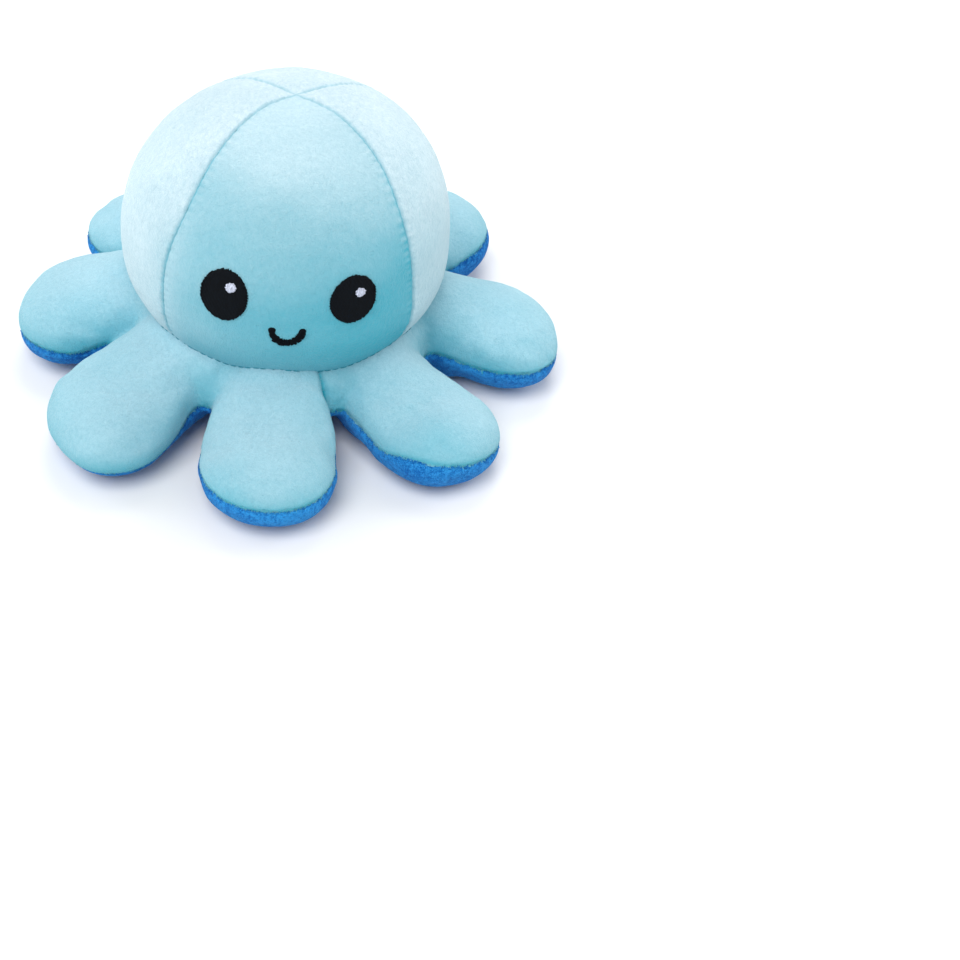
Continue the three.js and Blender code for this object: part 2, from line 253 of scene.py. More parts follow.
def cloth_piece(name, spots, out, faces, thickness=CLOTH, shade=None, tufts=None):
    """Cloth of one thickness whose outer face runs through the spots, closed along its edges.

    The shade is kept on the points, for the finish to mix in painted shade: in seams and creases, where the
    cloth turns away from the light, and in the valleys, along with some random tone of the nap.
    """
    count, sides = len(spots), faces.shape[1]
    edges = np.concatenate([faces[:, [i, (i + 1) % sides]] for i in range(sides)])
    low, high = edges.min(1), edges.max(1)
    where, times = np.unique(low * count + high, return_index=True, return_counts=True)[1:]
    rim = edges[where[times == 1]]
    inner = faces[:, ::-1] + count
    hem = np.stack([rim[:, 1], rim[:, 0], rim[:, 0] + count, rim[:, 1] + count], 1)
    points, normals = [spots, spots - out * thickness], [out, -out]
    polygons = faces.tolist() + inner.tolist() + hem.tolist()
    if tufts is not None:
        points.append(tufts[0])
        normals.append(tufts[1])
        polygons += (tufts[2] + 2 * count).tolist()
    piece = new_piece(name, np.concatenate(points), polygons)
    piece.data.normals_split_custom_set_from_vertices(np.concatenate(normals).tolist())
    values = np.zeros(count) if shade is None else np.clip(shade, 0, 1)
    values = np.r_[values, values, [] if tufts is None else values[tufts[3]]]
    piece.data.attributes.new("painted_shade_and_nap", "FLOAT", "POINT").data.foreach_set("value", values)
    return piece


def set_sockets(node, values):
    """Sets sockets by their names, which have a space where the word here has an underscore."""
    for socket, value in values.items():
        node.inputs[socket.replace("_", " ")].default_value = value


def new_finish(name, **values):
    """A finish, its tree of nodes and its shader, which has its sockets set by their names."""
    finish = bpy.data.materials.new(name)
    finish.use_nodes = True
    skin = finish.node_tree.nodes["Principled BSDF"]
    set_sockets(skin, values)
    return finish, finish.node_tree, skin


def add_node(tree, kind, **values):
    """A node of a kind, with its sockets set by their names."""
    node = tree.nodes.new("ShaderNode" + kind)
    set_sockets(node, values)
    return node


def add_ramp(tree, low, high, start=0.0, end=1.0):
    """A node that turns a value into a colour between two."""
    ramp = add_node(tree, "ValToRGB")
    for stop, colour, place in zip(ramp.color_ramp.elements, (low, high), (start, end)):
        stop.position, stop.color = place, (*colour, 1)
    return ramp


def link_nodes(tree, links):
    """Joins nodes, for rows of a node, its output, the next node and its input."""
    for start, output, end, socket in links:
        tree.links.new(start.outputs[output], end.inputs[socket])


def velour(name, deep, pale, painted_shade_and_nap, sheen, streak, contrast):
    """Short-pile velour: a brushed nap in faint streaks, fine tufts, ends that catch the light, and painted
    shade mixed in from the points.
    """
    finish, tree, skin = new_finish(
        name, Specular_IOR_Level=0.12, Sheen_Weight=sheen, Sheen_Roughness=0.45, Sheen_Tint=(0.88, 0.97, 1, 1)
    )
    place = add_node(tree, "TexCoord")
    cloud = add_node(tree, "TexNoise", Scale=38.0, Detail=2.0)
    brush = add_node(tree, "Mapping", Scale=streak)
    nap = add_node(tree, "TexNoise", Scale=700.0, Detail=4.0, Roughness=0.65)
    pile = add_node(tree, "TexNoise", Scale=2300.0, Detail=2.0, Roughness=0.8)
    tuft, tone = add_node(tree, "Math"), add_node(tree, "Math")
    tuft.operation = tone.operation = "MULTIPLY_ADD"
    tuft.inputs[1].default_value, tone.inputs[1].default_value = 1.0, 0.5
    # the three noises add up to about 1.25, give or take 0.42
    spread = add_node(tree, "MapRange", From_Min=1.25 - 0.42 / contrast, From_Max=1.25 + 0.42 / contrast)
    shades = add_ramp(tree, deep, pale)
    # painted shade: the colour is mixed towards a deeper one by the shade kept on the points, which also
    # holds some random tone of the nap
    seam = add_node(tree, "Attribute")
    seam.attribute_name = "painted_shade_and_nap"
    dark = add_node(tree, "Mix")
    dark.data_type = "RGBA"
    dark.inputs["B"].default_value = (*painted_shade_and_nap, 1)
    dull = add_node(tree, "MapRange", To_Min=0.8, To_Max=1.0)
    fur = add_node(tree, "Bump", Strength=1.0, Distance=0.0005)
    link_nodes(tree, [
        (place, "Object", cloud, "Vector"),
        (place, "Object", brush, "Vector"),
        (brush, "Vector", nap, "Vector"),
        (brush, "Vector", pile, "Vector"),
        (pile, "Fac", tuft, 0),
        (nap, "Fac", tuft, 2),
        (cloud, "Fac", tone, 0),
        (tuft, "Value", tone, 2),
        (tone, "Value", spread, "Value"),
        (spread, "Result", shades, "Fac"),
        (seam, "Fac", dark, "Factor"),
        (dark, "Result", skin, "Base Color"),
        (shades, "Color", dark, "A"),
        (pile, "Fac", dull, "Value"),
        (dull, "Result", skin, "Roughness"),
        (tuft, "Value", fur, "Height"),
        (fur, "Normal", skin, "Normal"),
    ])
    return finish


# The third colour of each velour is its painted shade colour. The side gores' copy is paler than the front's,
# with a paler painted shade.
light_front = velour(
    "light_velour_front_gore", (0.44, 0.655, 0.745), (0.62, 0.81, 0.885), (0.0, 0.38, 0.51),
    sheen=0.3, streak=(1, 1, 0.6), contrast=1.25,
)
light_side = velour(
    "light_velour_side_gores", (0.45, 0.635, 0.72), (0.68, 0.825, 0.89), (0.16, 0.47, 0.58),
    sheen=0.8, streak=(1, 0.7, 0.5), contrast=1.4,
)
rows = int(head_dome.along[-1] / GORE_STEP)
columns = int(HEAD_RADIUS * np.pi / 2 / GORE_STEP)
# points crowd towards the seams, where the cloth turns in
crowd = np.linspace(-1, 1, columns)
crowd = (0.55 * crowd + 0.45 * np.sin(crowd * np.pi / 2) + 1) / 2
along = np.linspace(0.12, head_dome.along[-1], rows)
for index, side in enumerate(SIDES):
    first, last = (seam_turn(HEAD_SEAMS[(index + k) % 4], along)[:, None] for k in (0, 1))
    turn = first + ((last - first) % 360) * crowd[None, :]
    spots = on_head(turn, along[:, None])
    faces = grid_faces(rows, columns)
    out = outward(spots, faces)
    down = np.repeat(along, columns)
    top = smooth((2.5 - down) / 2)[:, None]
    out = out * (1 - top) + top * (0, 0, 1)
    edge = from_seam(HEAD_SEAMS, turn.ravel(), down, head_dome.place(down)[0])
    # painted shade in the seam grooves, with a fainter band beside them
    shade = SEAM_SHADE * hill(edge, SEAM_SHADE_WIDTH) + 0.1 * hill(edge, 1.5)
    # painted shade: the steeper the cloth, the darker, as it turns away from the light above, most of all on
    # the face's right, away from the lamp on the left
    slope = 1 - out[:, 2]
    depth = FRONT_SHADE * (1 - np.exp(-1.5 * slope)) if side == "front" else SIDE_SHADE * slope
    shade += depth * (1 + 0.3 * out[:, 0] * smooth((slope - 0.3) / 0.6))
    # painted shade eased across the left front seam from above the eyes down, less on the front gore and more
    # on the left one, which all but hides the seam
    hidden = hill(edge, 7) * smooth((HIDDEN_SEAM_HEIGHT - spots[:, 2]) / 18)
    hidden *= (spots[:, 0] < 0) & (spots[:, 1] < 0)
    shade += (-0.26 if side == "front" else 0.2) * hidden
    # the nap lies this way and that where hands have brushed it
    shade += NAP_SHADE * lumps(spots * (0.6, 1, 1.4), 17, 91)
    gore = cloth_piece(f"head_{side}_gore", spots, out, faces, shade=shade)
    gore.data.materials.append(light_front if side == "front" else light_side)
    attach(gore, "body")
    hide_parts(f"head_{side}_panel")

# Pocket: the four dark gores of the other head, sewn to each other and pushed up inside the light one, so
# their pile faces the hollow. They are slack, so they lie in soft upright folds, and they end at the mouth
# underneath, where they are sewn to the skirt.
POCKET_RADIUS = 38.0
POCKET_WAIST = 48.0
POCKET_RISE = 40.0
POCKET_DROP = 45.5
POCKET_FOOT = 17.3
POCKET_FOLD = 0.5
POCKET_SEAMS = tuple((turn,) * 5 for turn in (-41.0, 49.0, 139.0, 229.0))
pocket_dome = Dome(POCKET_RADIUS, POCKET_WAIST, POCKET_RISE, POCKET_DROP, 2.0, 2.0, POCKET_FOOT)


def on_pocket(turn, along, rise=0.0):
    """Points on the pocket's pile side. A positive rise goes into the hollow."""
    turn, along = paired(turn, along)
    r, z, out, up = pocket_dome.ring(along)
    relief = -gored(pocket_dome, POCKET_SEAMS, turn, along, 0.4, 0.8, 1.2, 31)
    fold = np.sin(np.radians(turn) * 9 + 1.5 * np.sin(along / 17)) * smooth(along / 30)
    relief = np.clip(relief - 0.2, -0.1, 1.1) + POCKET_FOLD * fold - rise
    a = np.radians(turn)
    x, y = (r + relief * out) * np.sin(a), -(r + relief * out) * np.cos(a)
    return np.stack([x, y, z + relief * up], 1)


# its third colour is the painted shade colour, which the dark cloths take only a little of
dark_pile = velour(
    "dark_velour", (0.0, 0.105, 0.41), (0.04, 0.365, 0.82), (0.0, 0.11, 0.43),
    sheen=0.05, streak=(1, 1, 1), contrast=2.6,
)
step = 1.5 * GORE_STEP
rows = int(pocket_dome.along[-1] / step)
columns = int(POCKET_RADIUS * np.pi / 2 / step)
along = np.linspace(0.15, pocket_dome.along[-1], rows)
for index, side in enumerate(SIDES):
    turn = POCKET_SEAMS[index][0] + np.linspace(0, 90, columns)
    spots = on_pocket(turn[None, :], along[:, None])
    faces = grid_faces(rows, columns)[:, ::-1]
    gore = cloth_piece(f"pocket_{side}_gore", spots, outward(spots, faces), faces)
    gore.data.materials.append(dark_pile)
    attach(gore, "body")
    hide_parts(f"pocket_{side}_panel")

# Skirt and arms: a light flower of eight lobes over a dark one, both velour, sewn together round the edge,
# turned and stuffed. The bag is shaped as one field of distances, and then parted into its cloths.
ARM_STEP = 0.9
ROOT_RISE = 8.5
ARM_SQUARENESS = 2.15
WEB_EDGE = 55.2
WEB_EDGE_HEIGHT = 16.8
WEB_TOP = 35.0
WEB_CREST = 45.0
WEB_FOOT = 35.0
MOUTH_RADIUS = 28.0
# the arms' cloths begin at the root ring; inside the trim ring the light cloth is hidden by the head
ROOT_RING = 50.0
TRIM_RING = 45.0
# name: turn, reach, half width, thickness, narrowing at the root, sideways bend, lift of the tip, then the
# edge seam's height at the root and at the tip, and its tilt from one side to the other
ARMS = {
    "front": (-1.6, 100.3, 24.0, 26.1, 0.36, 1.7, 0.0, 16.8, 14.3, 0.0),
    "front_right": (44.8, 100.4, 21.8, 24.8, 0.28, 2.2, 0.0, 17.0, 14.2, -3.6),
    "right": (92.5, 101.0, 24.6, 29.4, 0.48, -8.5, 0.0, 17.6, 14.4, -0.6),
    "back_right": (138.0, 103.0, 23.6, 27.4, 0.38, -0.2, 2.4, 16.8, 15.5, -1.0),
    "back": (180.0, 100.0, 24.0, 26.2, 0.40, 0.0, 0.5, 16.8, 13.0, 1.5),
    "back_left": (-135.0, 99.5, 23.8, 25.3, 0.38, 3.2, 0.0, 16.8, 13.5, 1.0),
    "left": (-93.0, 96.0, 26.0, 29.6, 0.36, 7.2, 0.0, 23.0, 12.2, 2.4),
    "front_left": (-48.9, 101.0, 25.8, 26.4, 0.44, 8.2, 0.0, 16.8, 9.0, -1.0),
}
# the turns at which one arm's cloth ends and the next one's begins, deep in the valleys
VALLEYS = (22.2, 68.0, 115.2, 158.9, 202.6, 245.3, 290.0, 335.3)
EDGE_DIP = 4.0
EDGE_GROOVE = 0.7
CREASE_DEPTH = 1.5
CREASE_SWELL = 0.9
STEEP_SHADE = 0.66
VALLEY_SHADE = 0.12
FRONT_RIGHT_DARK_PATCH_DEPTH = 0.3
FRONT_RIGHT_DARK_PATCH = (56.0, -68.0)
BAG_REACH = 106
BAG_HEIGHT = 38


def from_axis(spots):
    """Distance from the upright axis."""
    return np.hypot(spots[:, 0], spots[:, 1])


def turn_and_reach(spots):
    """Turn from the front, and distance from the axis."""
    return np.degrees(np.arctan2(spots[:, 0], -spots[:, 1])), from_axis(spots)


def heading(turn):
    """Unit directions along a turn and across it."""
    a = math.radians(turn)
    return np.array([math.sin(a), -math.cos(a)]), np.array([math.cos(a), math.sin(a)])


def arm_distance(spots, arm):
    """Distance outside one stuffed arm, as if it ran on to the middle of the toy."""
    turn, reach, tip, thick, narrow, bend, lift = ARMS[arm][:7]
    along, aside = heading(turn)
    ahead = spots[:, :2] @ along
    side = spots[:, :2] @ aside - bend * (np.clip(ahead - 50, 0, 60) / 50) ** 2
    far = np.full(len(spots), 60.0)
    near = (ahead > 8) & (np.abs(side) < 48)
    ahead, side, z = ahead[near], side[near], spots[near, 2]
    half_width = np.maximum(tip * (1 - narrow * (np.maximum(80 - ahead, 0) / 40) ** 1.9), 3)
    top = thick + ROOT_RISE * smooth((80 - ahead) / 34)
    half_height = (top + 0.8) / 2
    middle = (top - 0.8) / 2 + lift * smooth((ahead - 60) / 38)
    power = ARM_SQUARENESS
    past = np.maximum(ahead - (reach - tip), 0) / tip
    flat = (past**power + np.abs(side / half_width) ** power) ** (1 / power) + 1e-6
    tall = np.abs(z - middle) / half_height
    size = (flat**power + tall**power) ** (1 / power)
    slope = np.hypot((flat / size) ** (power - 1) / half_width, (tall / size) ** (power - 1) / half_height)
    far[near] = (size - 1) / np.maximum(slope, 0.01)
    return far


def web_distance(spots):
    """The web between the arms: full at the neck, and drawn in to the edge seam like the rim of a cushion."""
    a, r = turn_and_reach(spots)
    rim = WEB_EDGE + 2.6 * hill(a + 26, 15)
    valley = hill((a - 25.5 + 22.5) % 45 - 22.5, 8) * smooth((r - 47) / 5)
    over = np.clip((r - WEB_CREST) / (rim - WEB_CREST), 0, 1)
    top = WEB_EDGE_HEIGHT + (WEB_TOP - WEB_EDGE_HEIGHT) * np.sqrt(1 - over**2)
    top = np.where(r < rim, top, WEB_EDGE_HEIGHT - 2 * (r - rim))
    top -= 3.2 * valley * (top > WEB_EDGE_HEIGHT + 4)
    foot = WEB_EDGE_HEIGHT * np.clip((r - WEB_FOOT) / (rim - WEB_FOOT), 0, 1.2) ** 1.1
    return 1.2 * np.logaddexp((spots[:, 2] - top) / 2, (foot - spots[:, 2]) / 2) - 0.6


def valley_width(spots):
    """How softly neighbouring lobes run together: crisply beside the front arm, in soft folds elsewhere."""
    a = turn_and_reach(spots)[0]
    return 1.9 - 1.2 * hill(a - 22, 9) - 0.5 * hill(a + 24, 8)


def bag_distance(spots, inset=0.0):
    """Distance outside the stuffed bag, with valleys where its lobes meet, and a foot pressed flat."""
    valley = valley_width(spots)
    total = np.exp(-np.clip(web_distance(spots), -30, 60) / valley)
    for arm in ARMS:
        total += np.exp(-np.clip(arm_distance(spots, arm), -30, 60) / valley)
    body = -valley * np.log(total)
    mouth = MOUTH_RADIUS - from_axis(spots)
    lip = 2.2
    body = lip * np.logaddexp(body / lip, mouth / lip) + inset
    press = 1.0
    return press * np.logaddexp(body / press, (inset - spots[:, 2]) / press)


def net_round(distance, low, high, step):
    """A net of quads over the surface where a distance is zero."""
    axes = [np.arange(a, b + step, step) for a, b in zip(low, high)]
    grid = np.stack(np.meshgrid(*axes, indexing="ij"), -1)
    value = distance(grid.reshape(-1, 3)).reshape(grid.shape[:3])
    shape = np.array(value.shape) - 1
    total, count = np.zeros((*shape, 3)), np.zeros(shape)
    crossings = []
    for axis in range(3):
        start, end = [slice(None)] * 3, [slice(None)] * 3
        start[axis], end[axis] = slice(0, -1), slice(1, None)
        a, b = value[tuple(start)], value[tuple(end)]
        meets = (a < 0) != (b < 0)
        share = np.where(meets, a / np.where(meets, a - b, 1), 0)
        spot = grid[tuple(start)].copy()
        spot[..., axis] += share * step
        spot[~meets] = 0
        crossings.append((meets, a < 0))
        others = [k for k in range(3) if k != axis]
        for shift in product((0, 1), repeat=2):
            cut = [slice(None)] * 3
            for k, s in zip(others, shift):
                cut[k] = slice(s, shape[k] + s)
            total += spot[tuple(cut)]
            count += meets[tuple(cut)]
    active = count > 0
    index = np.full(shape, -1)
    index[active] = np.arange(active.sum())
    spots = total[active] / count[active][:, None]
    faces, steps = [], np.eye(3, dtype=int)
    for axis, (meets, from_inside) in enumerate(crossings):
        one, two = [k for k in range(3) if k != axis]
        at = np.argwhere(meets)
        fits = (at[:, one] > 0) & (at[:, two] > 0) & (at[:, one] < shape[one]) & (at[:, two] < shape[two])
        at = at[fits]
        cells = [at - s * steps[one] - t * steps[two] for s, t in ((1, 1), (0, 1), (0, 0), (1, 0))]
        ring = np.stack([index[tuple(cell.T)] for cell in cells], 1)
        flip = from_inside[tuple(at.T)] == (axis == 1)
        ring[flip] = ring[flip][:, ::-1]
        faces.append(ring)
    return spots, np.concatenate(faces)


def settled(spots, faces, distance, rounds):
    """Evens out a net and keeps it on its surface."""
    edges = np.unique(np.sort(np.concatenate([faces[:, [i, (i + 1) % 4]] for i in range(4)]), axis=1), axis=0)
    a, b = edges.T
    number = np.bincount(a, minlength=len(spots)) + np.bincount(b, minlength=len(spots))
    for done in range(rounds + 2):
        if done < rounds:
            beside = [np.bincount(a, x[b], len(x)) + np.bincount(b, x[a], len(x)) for x in spots.T]
            spots = spots + 0.6 * (np.stack(beside, 1) / number[:, None] - spots)
        here = distance(spots)
        reach = 0.05
        slope = np.stack([distance(spots + step) - here for step in reach * np.eye(3)], 1) / reach
        size = np.maximum((slope**2).sum(1), 0.05)
        spots = spots - np.clip(here, -1, 1)[:, None] * slope / size[:, None]
    return spots


def parted(spots, extra, faces, field):
    """Cuts triangles along a field's zero line. Returns points, their other values and the triangles."""
    field = np.where(np.abs(field) < 1e-6, 1e-6, field)
    above = field > 0
    inside = above[faces]
    mixed = inside.any(1) & ~inside.all(1)
    whole, cut = faces[~mixed], faces[mixed]
    side = inside[mixed]
    lone = np.where(side.sum(1) == 1, side.argmax(1), (~side).argmax(1))
    cut = np.take_along_axis(cut, (lone[:, None] + np.arange(3)) % 3, 1)
    a, b, c = cut.T
    pairs = np.sort(np.concatenate([np.stack([a, b], 1), np.stack([a, c], 1)]), axis=1)
    unique, back = np.unique(pairs, axis=0, return_inverse=True)
    back = back.ravel() + len(spots)
    p, q = back[: len(a)], back[len(a):]
    u, v = unique.T
    share = (field[u] / (field[u] - field[v]))[:, None]
    spots = np.concatenate([spots, spots[u] + share * (spots[v] - spots[u])])
    extra = np.concatenate([extra, extra[u] + share * (extra[v] - extra[u])])
    faces = np.concatenate([whole, np.stack([a, p, q], 1), np.stack([p, b, c], 1), np.stack([p, c, q], 1)])
    return spots, extra, faces


def edge_seam(spots):
    """Height above the seam that joins the light cloth to the dark, arm by arm."""
    a, r = turn_and_reach(spots)
    level, weight = np.zeros(len(spots)), np.zeros(len(spots))
    for arm, (turn, _, tip, _, _, _, lift, root_height, height, tilt) in ARMS.items():
        share = smooth((30 - apart(a, turn)) / 15) + 1e-9
        side = np.clip(spots[:, :2] @ heading(turn)[1] / tip, -1.1, 1.1)
        rise = lift * smooth((r - 60) / 38) + tilt * side * smooth((r - 56) / 18)
        if arm == "front_right":
            rise -= EDGE_DIP * hill(r - 75, 9) * smooth(-2 * side)
        level += share * (rise + height + (root_height - height) * smooth((78 - r) / 20))
        weight += share
    return spots[:, 2] - level / weight


def neck_gathers(spots):
    """Small gathers that run out of the neck seam."""
    a = np.arctan2(spots[:, 0], -spots[:, 1])
    fold = np.sin(61 * a + 3 * np.sin(5 * a)) + 0.6 * np.sin(97 * a + 2 * np.sin(7 * a))
    return 0.12 * fold * np.exp(-np.abs(from_axis(spots) - 52.0) / 2.2) * (spots[:, 2] > WEB_EDGE_HEIGHT)


def crease(spots):
    """The fold where the front arm, which is stuffed hardest, swells against the web on its right."""
    a, r = turn_and_reach(spots)
    off = np.radians(a - 16.2 - 0.29 * (r - 48.3)) * r
    there = smooth((61.5 - r) / 4) * smooth((spots[:, 2] - 17) / 6)
    return off, there


PATTERN_STEP = 5.0
PATTERN_INSET = 1.5
HELD_HEIGHT = 1.5
HELD_SEAM = 2.2
PRESSURE = 40.0
FRAMES = 20
SPARE_CLOTH = 0.045
WRINKLE_SPAN = 13.0
WRINKLE_SHARE = 0.55
WRINKLE_CAP = 1.1


def wrinkles_of_stuffing():
    """Places and heights of wrinkles: the bag is blown up as cloth with some to spare, held by its seams."""

    def inside(places):
        return bag_distance(places, PATTERN_INSET)

    low, high = (-BAG_REACH, -BAG_REACH, -4), (BAG_REACH, BAG_REACH, BAG_HEIGHT)
    spots, faces = net_round(inside, low, high, PATTERN_STEP)
    spots = settled(spots, faces, inside, 3)
    bag = new_piece("bag_pattern", spots, faces.tolist())
    mesh = bag.data
    at_neck = from_axis(spots) < ROOT_RING
    at_rest = spots[:, 2] < HELD_HEIGHT
    at_seam = np.abs(edge_seam(spots)) < HELD_SEAM
    held = np.flatnonzero(at_neck | at_rest | at_seam).tolist()
    bag.vertex_groups.new(name="held").add(held, 1.0, "REPLACE")
    cloth = bag.modifiers.new("stuffing", "CLOTH")
    for setting, value in dict(
        quality=6, mass=0.002, tension_stiffness=5.0, compression_stiffness=2.0, shear_stiffness=2.0,
        bending_stiffness=0.15, shrink_min=-SPARE_CLOTH, vertex_group_mass="held", use_pressure=True,
        uniform_pressure_force=PRESSURE,
    ).items():
        setattr(cloth.settings, setting, value)
    cloth.settings.effector_weights.gravity = 0.0
    cloth.collision_settings.use_collision = False
    cloth.collision_settings.use_self_collision = False
    cloth.point_cache.frame_start, cloth.point_cache.frame_end = 1, FRAMES
    for frame_number in range(1, FRAMES + 1):
        bpy.context.scene.frame_set(frame_number)
    blown = bag.evaluated_get(bpy.context.evaluated_depsgraph_get()).to_mesh()
    after = np.empty(len(spots) * 3)
    blown.vertices.foreach_get("co", after)
    bpy.data.objects.remove(bag)
    bpy.data.meshes.remove(mesh)
    bpy.context.scene.frame_set(1)
    swell = ((after.reshape(-1, 3) / MM - spots) * outward(spots, faces)).sum(1)
    far = ((spots[:, None, :] - spots[None, :, :]) ** 2).sum(2)
    share = np.exp(-far / WRINKLE_SPAN**2)
    heights = WRINKLE_SHARE * (swell - share @ swell / share.sum(1))
    return spots, np.clip(heights, -WRINKLE_CAP, WRINKLE_CAP)


def carried_over(places, spots, heights):
    """Heights at a coarse net's spots, spread softly to finer places."""
    found = np.zeros(len(places))
    for first in range(0, len(places), 4000):
        here = places[first:first + 4000]
        far = (here**2).sum(1)[:, None] - 2 * here @ spots.T + (spots**2).sum(1)[None, :]
        share = np.exp(-np.maximum(far, 0) / (0.62 * PATTERN_STEP) ** 2) + 1e-12
        found[first:first + 4000] = share @ heights / share.sum(1)
    return found


low, high = (-BAG_REACH, -BAG_REACH, -1.5), (BAG_REACH, BAG_REACH, BAG_HEIGHT)
bag, quads = net_round(bag_distance, low, high, ARM_STEP)
bag = settled(bag, quads, bag_distance, 3)
plain = outward(bag, quads)
seam = edge_seam(bag)
fold, folded = crease(bag)
relief = -EDGE_GROOVE * hill(seam, 1.0) + neck_gathers(bag)
relief -= (CREASE_DEPTH * hill(fold, 1.0) - CREASE_SWELL * hill(fold + 4, 3.5)) * folded
relief += 0.45 * lumps(bag, 22, 51) + 0.2 * lumps(bag, 9, 52) + 0.05 * lumps(bag, 2.2, 53)
relief += carried_over(bag, *wrinkles_of_stuffing())
relief *= smooth(bag[:, 2] / 3)
bag = bag + plain * relief[:, None]
out = outward(bag, quads)
# painted shade in the edge seam's groove and in the crease beside the front arm, and darker the steeper the
# cloth, as it turns away from the light above, with some random tone of the nap
shade = 0.18 * hill(seam, 0.9) + 0.5 * hill(fold, 0.6) * folded
shade += STEEP_SHADE * (1.04 - out[:, 2]) + 0.1 * lumps(bag, 15, 92)
# painted shade in the valleys between the arms, where the lobes shade each other
around, reach = turn_and_reach(bag)
aside = np.radians(apart(around[:, None], np.array(VALLEYS)).min(1)) * reach
shade += VALLEY_SHADE * hill(aside, 7) * smooth((reach - 50) / 8) * smooth((95 - reach) / 20)
# a darker patch on the front right arm, towards its tip
shade += FRONT_RIGHT_DARK_PATCH_DEPTH * hill(bag[:, 0] - FRONT_RIGHT_DARK_PATCH[0], 13) * hill(bag[:, 1] - FRONT_RIGHT_DARK_PATCH[1], 10)
seam += 0.75 * lumps(bag, 1.3, 54) + 0.3 * lumps(bag, 3.1, 55)
faces = np.concatenate([quads[:, [0, 1, 2]], quads[:, [0, 2, 3]]])
extra = np.concatenate([out, seam[:, None], shade[:, None]], 1)
for turn in VALLEYS:
    bag, extra, faces = parted(bag, extra, faces, bag[:, :2] @ heading(turn)[1])
for ring in (ROOT_RING, TRIM_RING):
    bag, extra, faces = parted(bag, extra, faces, from_axis(bag) - ring)
bag, extra, faces = parted(bag, extra, faces, extra[:, 3])
bag, extra, faces = parted(bag, extra, faces, bag[:, 2] - POCKET_FOOT)
middle = bag[faces].mean(1)
turns, far = turn_and_reach(middle)
is_light = extra[faces, 3].mean(1) > 0

# its third colour is the painted shade colour of the arms and skirt
light_arms = velour(
    "light_velour_arms", (0.30, 0.56, 0.67), (0.43, 0.695, 0.80), (0.0, 0.405, 0.54),
    sheen=0.45, streak=(1, 1, 1), contrast=1.5,
)
TUFTS = 4.0
TUFT_BAND = 0.8
TUFT_REACH = 1.1
TUFT_WIDTH = 0.6
UNDERSIDE_SHADE = 0.3


def edge_tufts(spots, out, faces, density, sweep, seed):
    """Tufts of pile that reach over the edge seam: small closed spikes that lean with the sweep."""
    rng = np.random.default_rng(seed)
    a, b, c = (spots[faces[:, i]] for i in (0, 1, 2))
    area = np.linalg.norm(np.cross(b - a, c - a), axis=1) / 2
    chosen = faces[np.repeat(np.arange(len(faces)), rng.poisson(area * density))]
    share = rng.dirichlet((1, 1, 1), len(chosen))
    foot = (spots[chosen] * share[:, :, None]).sum(1)
    normal = unit((out[chosen] * share[:, :, None]).sum(1))
    lean = sweep + rng.normal(0, 0.6, foot.shape)
    lean = unit(lean - (lean * normal).sum(1)[:, None] * normal)
    reach = (rng.uniform(0.5, 1.2, len(foot)) * TUFT_REACH)[:, None]
    across = np.cross(lean, normal) * TUFT_WIDTH / 2
    sunk = foot - normal * 0.25
    tip = foot + (normal * rng.uniform(0.15, 0.45, len(foot))[:, None] + lean * 0.85) * reach
    points = np.stack([sunk - across, sunk + across, foot + normal * 0.12, tip], 1).reshape(-1, 3)
    spike = np.array([(3, 1, 0), (3, 2, 1), (3, 0, 2), (1, 2, 0)])
    sides = (4 * np.arange(len(foot))[:, None, None] + spike).reshape(-1, 3)
    return points, np.repeat(normal, 4, 0), sides, np.repeat(chosen[:, 0], 4)


def cut_cloth(name, chosen, finish, node):
    """One cloth out of the bag: the chosen triangles, with only the points they use."""
    used, new = np.unique(faces[chosen], return_inverse=True)
    new = new.reshape(-1, 3)
    spots, out_here, edge = bag[used], unit(extra[used, :3]), extra[used, 3]
    near = hill(edge[new].mean(1), TUFT_BAND)
    standing = spots[new].mean(1)[:, 2] > 3
    sweep = (0, 0, -0.9 if finish is light_arms else 0.9)
    tufts = edge_tufts(spots, out_here, new, TUFTS * near * standing, sweep, len(used))
    # the dark cloths take less of the painted shade
    depth = 1.0 if finish is light_arms else UNDERSIDE_SHADE
    piece = cloth_piece(name, spots, out_here, new, shade=depth * extra[used, 4], tufts=tufts)
    piece.data.materials.append(finish)
    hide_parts(node)
    return piece


root = far < ROOT_RING
collar = root & is_light & (far > TRIM_RING)
sole = root & ~collar & ((middle[:, 2] < POCKET_FOOT) | (far > TRIM_RING))
skirt_top = cut_cloth("skirt_top_cloth", collar, light_arms, "skirt_top_panel")
skirt_under = cut_cloth("skirt_under_cloth", sole, dark_pile, "skirt_under_panel")
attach(skirt_top, "body")
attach(skirt_under, "body")


for index, arm in enumerate(ARMS):
    here = ~root & ((turns - VALLEYS[index - 1]) % 360 < (VALLEYS[index] - VALLEYS[index - 1]) % 360)
    for cloth, light, finish, slot in (
        ("top", True, light_arms, "light_plush"),
        ("under", False, dark_pile, "dark_plush"),
    ):
        name = f"arm_{arm}_{cloth}"
        piece = cut_cloth(f"{name}_cloth", here & (is_light == light), finish, f"{name}_panel")
        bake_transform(piece)

# Neck thread: the head is sewn to the skirt all round with teal thread, laid in the crease under the chin.
# Its dark teal line is partly the stitches and partly painted shade, the shade that falls in that crease.
# Each stitch is a small closed roll of thread, and the next starts close behind it.
STITCH = 2.5
STITCH_GAP = 0.35
STITCH_THICKNESS = 0.6
STITCH_RINGS = 7
STITCH_SIDES = 8
NECK_TURNS = 361
NECK_STEPS = 60


